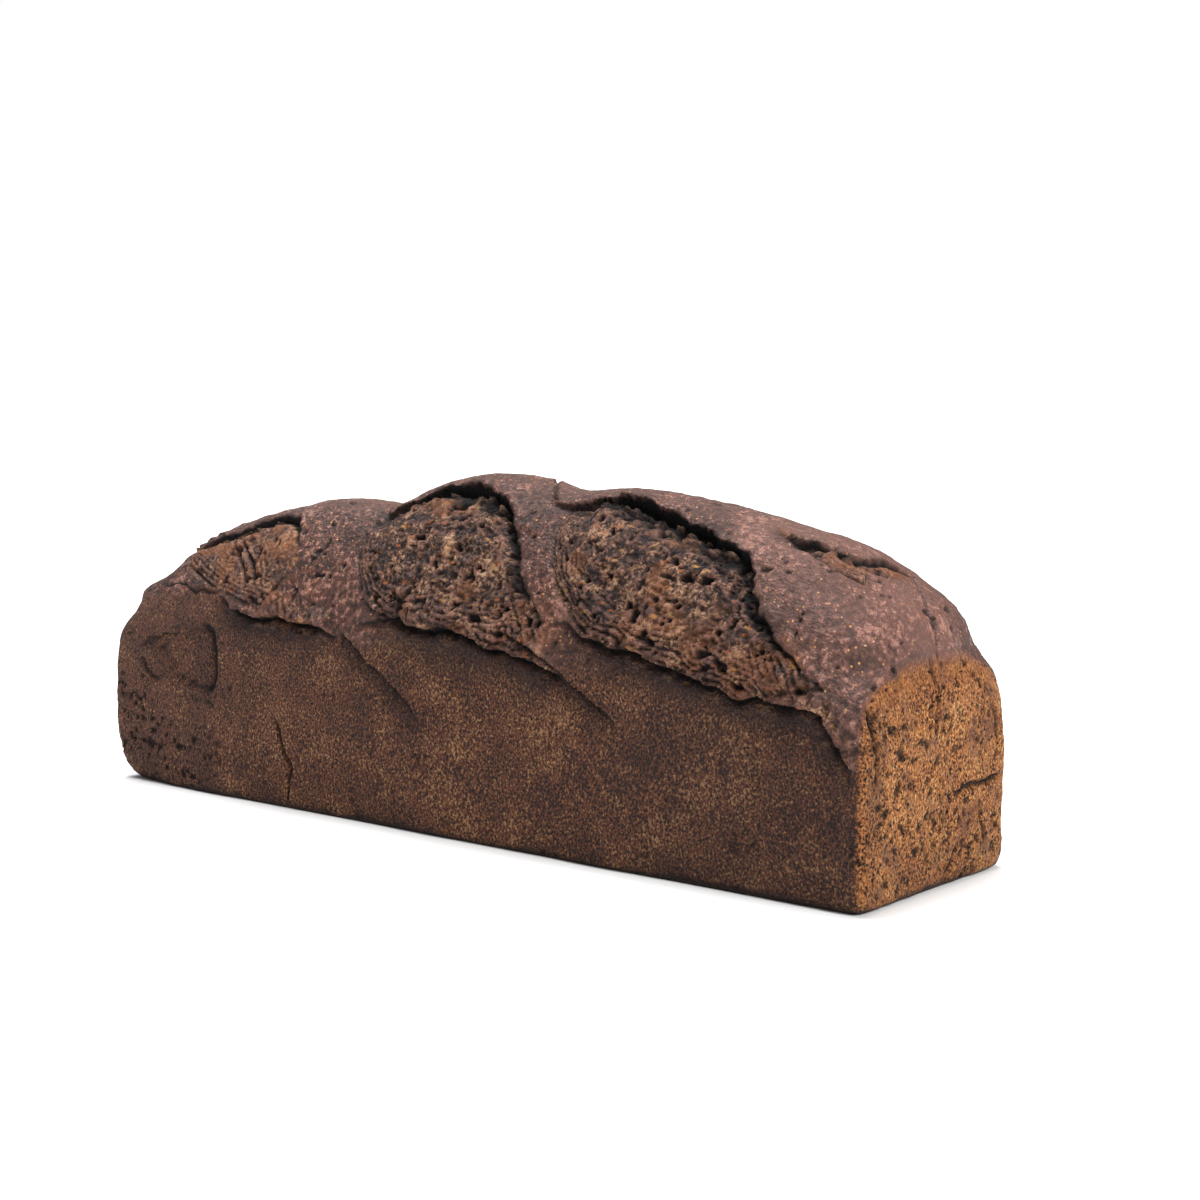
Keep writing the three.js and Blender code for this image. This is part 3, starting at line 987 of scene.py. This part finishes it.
def amount(name, description, default):
    """A plain number that a user can change."""
    return FloatProperty(name=name, description=description, default=default, min=0.0)


def colour(name, description, code):
    """A colour that a user can change."""
    return FloatVectorProperty(name=name, description=description, default=linear(code),
                               subtype="COLOR", size=4, min=0.0, max=1.0)


class LoafForm(PropertyGroup):
    """Sizes of the loaf's relief."""

    ear_height: length("Ear height", "How far the crust stands up along a cut", 0.0014)
    ear_overhang: length("Ear overhang", "How far that crust hangs over the cut", 0.0018)
    cut_depth: length("Cut depth", "Depth of the gap under the raised edge", 0.0050)
    crease_step: length("Crease step", "How far the dome bulges over the wall", 0.0022)
    crumb_roughness: amount("Crumb roughness", "Height of the torn crumb's lumps", 1.0)


class LoafColours(PropertyGroup):
    """Colours of the loaf's finishes and of the stage."""

    crust: colour("Crust", "Dome crust", "#3a1e15")
    crust_pale: colour("Pale crust", "Paler dome crust", "#552f23")
    crust_dark: colour("Dark crust", "Dome crust in its hollows", "#21110e")
    wall: colour("Wall", "Crust against the tin", "#5a2f1e")
    wall_golden: colour("Golden wall", "Lighter grain of that crust", "#6f4226")
    wall_bran: colour("Wall bran", "Bran in that crust", "#ac8258")
    wall_dull: colour("Dull wall", "The same near the left end", "#643e2f")
    wall_dark: colour("Wall hollows", "Fine hollows in the wall", "#22110b")
    end_wall: colour("End wall", "Paler crust on the end", "#95582b")
    end_golden: colour("Golden end wall", "Lighter grain of the end wall", "#bd773d")
    end_dark: colour("End wall hollows", "Fine hollows in the end wall", "#2e160a")
    end_purple: colour("End wall stain", "Darker patches of the end wall", "#6b4030")
    end_bran: colour("End wall bran", "Bran in the end wall", "#e0b272")
    rim_shade: colour("Rim shade", "Wall under the overhanging rim", "#231617")
    crumb: colour("Crumb", "Torn crumb", "#3c2219")
    crumb_warm: colour("Warm crumb", "Torn crumb where it browned", "#70452f")
    crumb_dark: colour("Crumb hollows", "Between the strands", "#150a07")
    bran: colour("Bran", "Pale bran flecks", "#b98445")
    bran_burnt: colour("Toasted bran", "Orange bran flecks", "#b05f28")
    husk: colour("Husks", "Pale husks in the crumb", "#bf9672")
    golden: colour("Golden strands", "Stretched dough", "#9a5a28")
    # Paler crust in the dome's mottle, and painted highlight on the highest lumps and crown.
    pale_crust_and_highlight: colour("Rubbed crust", "Crust on the highest lumps", "#94685a")
    # Painted shade in the hollows and along the base.
    painted_shade: colour("Soot", "Crust down in the hollows", "#1a0e0b")
    # Charred dough, and painted shade in the gaps, pits, cracks and folds.
    char: colour("Char", "Burnt dough in the gaps", "#0d0807")
    floor: colour("Floor", "Painted board under the loaf", "#f2f2f2")


class StudioLight(PropertyGroup):
    """Strengths of the stage's soft lights."""

    key: amount("Key", "Soft light from the right end and above", 2.9)
    top: amount("Top", "Soft light from overhead", 4.2)
    around: amount("Around", "Even light from all sides", 0.32)


# ---- pieces ----
def mesh_of(skin, maps):
    """Blender mesh of the finished skin, with its masks and unfolded map."""
    place = skin.finished() * MM
    mesh = bpy.data.meshes.new("pumpernickel_loaf")
    mesh.from_pydata(place, [], skin.quads, shade_flat=False)
    for name, values in skin.masks.items():
        layer = mesh.attributes.new(name, "FLOAT", "POINT")
        layer.data.foreach_set("value", values.astype(np.float32))
    layer = mesh.uv_layers.new(name="OFBake")
    layer.uv.foreach_set("vector", maps.ravel().astype(np.float32))
    if mesh.validate():
        raise RuntimeError("the loaf's skin has faults in its faces")
    return mesh


class LOAF_OT_bake(Operator):
    """Shapes the loaf's skin and gives it its baked finish"""

    bl_idname = "loaf.bake"
    bl_label = "Loaf"

    def execute(self, context):
        skin, maps = shape_skin(context.scene.loaf_form)
        piece = bpy.data.objects.new("pumpernickel_loaf", mesh_of(skin, maps))
        context.scene.collection.objects.link(piece)
        piece.data.materials.append(baked_rye_crust(context.scene.loaf_colours))
        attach(piece, "root")
        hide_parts("loaf")
        return {"FINISHED"}


# The camera's place in metres, its turn about Z, its downward tilt and its lens.
CAMERA_PLACE = Vector((0.4847, -0.5310, 0.1481))
CAMERA_HEADING = math.radians(39.74)
CAMERA_TILT = math.radians(5.305)
CAMERA_LENS_MM = 58.16
FLOOR_RADIUS = 40.0
FLOOR_SEGMENTS = 96

# The soft lights: the way from the loaf to each, and how wide it spreads in degrees.
KEY_TOWARD, KEY_SPREAD = (1.0, -0.12, 0.75), 26
TOP_TOWARD, TOP_SPREAD = (-0.2, 0.14, 1.0), 34


def soft_light(context, name, strength, spread_degrees, toward):
    """A soft light that comes evenly from one side; toward points from the loaf to it."""
    light = bpy.data.lights.new(name, "SUN")
    light.energy = strength
    light.angle = math.radians(spread_degrees)
    lamp = bpy.data.objects.new(name, light)
    lamp.rotation_euler = Vector(toward).to_track_quat("Z", "Y").to_euler()
    context.scene.collection.objects.link(lamp)


def white_surround(tree, strength):
    """Even light from all sides; seen directly, the surround is plain white paper."""
    tree.nodes.clear()
    seen = add_node(tree, "ShaderNodeLightPath").outputs["Is Camera Ray"]
    power = add_node(tree, "ShaderNodeMix", (("Factor", seen), ("A", strength), ("B", 1.0)))
    glow = add_node(tree, "ShaderNodeBackground", (("Color", (1, 1, 1, 1)),
                                                   ("Strength", power)))
    add_node(tree, "ShaderNodeOutputWorld", (("Surface", glow),))


def round_floor():
    """Mesh of a wide flat disc at height 0."""
    angles = [2 * math.pi * i / FLOOR_SEGMENTS for i in range(FLOOR_SEGMENTS)]
    rim = [(FLOOR_RADIUS * math.cos(a), FLOOR_RADIUS * math.sin(a), 0) for a in angles]
    mesh = bpy.data.meshes.new("floor")
    mesh.from_pydata(rim, [], [list(range(FLOOR_SEGMENTS))])
    return mesh


class LOAF_OT_set_stage(Operator):
    """Sets the floor, the soft lights and the camera"""

    bl_idname = "loaf.set_stage"
    bl_label = "Stage"

    def execute(self, context):
        scene = context.scene
        floor = bpy.data.objects.new("floor", round_floor())
        scene.collection.objects.link(floor)
        floor.data.materials.append(studio_floor_material(scene.loaf_colours))
        world = bpy.data.worlds.new("studio")
        world.use_nodes = True
        white_surround(world.node_tree, scene.loaf_light.around)
        scene.world = world
        soft_light(context, "key", scene.loaf_light.key, KEY_SPREAD, KEY_TOWARD)
        soft_light(context, "top", scene.loaf_light.top, TOP_SPREAD, TOP_TOWARD)
        lens = bpy.data.cameras.new("camera")
        lens.lens = CAMERA_LENS_MM
        camera = bpy.data.objects.new("camera", lens)
        camera.location = CAMERA_PLACE
        camera.rotation_euler = (math.pi / 2 - CAMERA_TILT, 0, CAMERA_HEADING)
        scene.collection.objects.link(camera)
        scene.camera = camera
        scene.view_settings.view_transform = "Standard"
        return {"FINISHED"}


class LOAF_PT_panel(Panel):
    """Lists the loaf's settings and the steps that build it"""

    bl_label = "Pumpernickel loaf"
    bl_idname = "LOAF_PT_panel"
    bl_space_type = "VIEW_3D"
    bl_region_type = "UI"
    bl_category = "Loaf"

    def draw(self, context):
        for name in SETTINGS:
            settings = getattr(context.scene, name)
            box = self.layout.box()
            for setting in settings.__annotations__:
                box.prop(settings, setting)
        for operator in (LOAF_OT_set_stage, LOAF_OT_bake):
            self.layout.operator(operator.bl_idname)


SETTINGS = {"loaf_form": LoafForm, "loaf_colours": LoafColours, "loaf_light": StudioLight}
CLASSES = (*SETTINGS.values(), LOAF_OT_bake, LOAF_OT_set_stage, LOAF_PT_panel)


def register():
    """Registers the classes and hangs the settings on the scene."""
    for one in CLASSES:
        bpy.utils.register_class(one)
    for name, kind in SETTINGS.items():
        setattr(bpy.types.Scene, name, PointerProperty(type=kind))


def unregister():
    """Takes the settings and classes away again."""
    for name in SETTINGS:
        delattr(bpy.types.Scene, name)
    for one in reversed(CLASSES):
        bpy.utils.unregister_class(one)


def main():
    register()
    bpy.ops.loaf.set_stage()
    bpy.ops.loaf.bake()


if __name__ == "__main__":
    main()
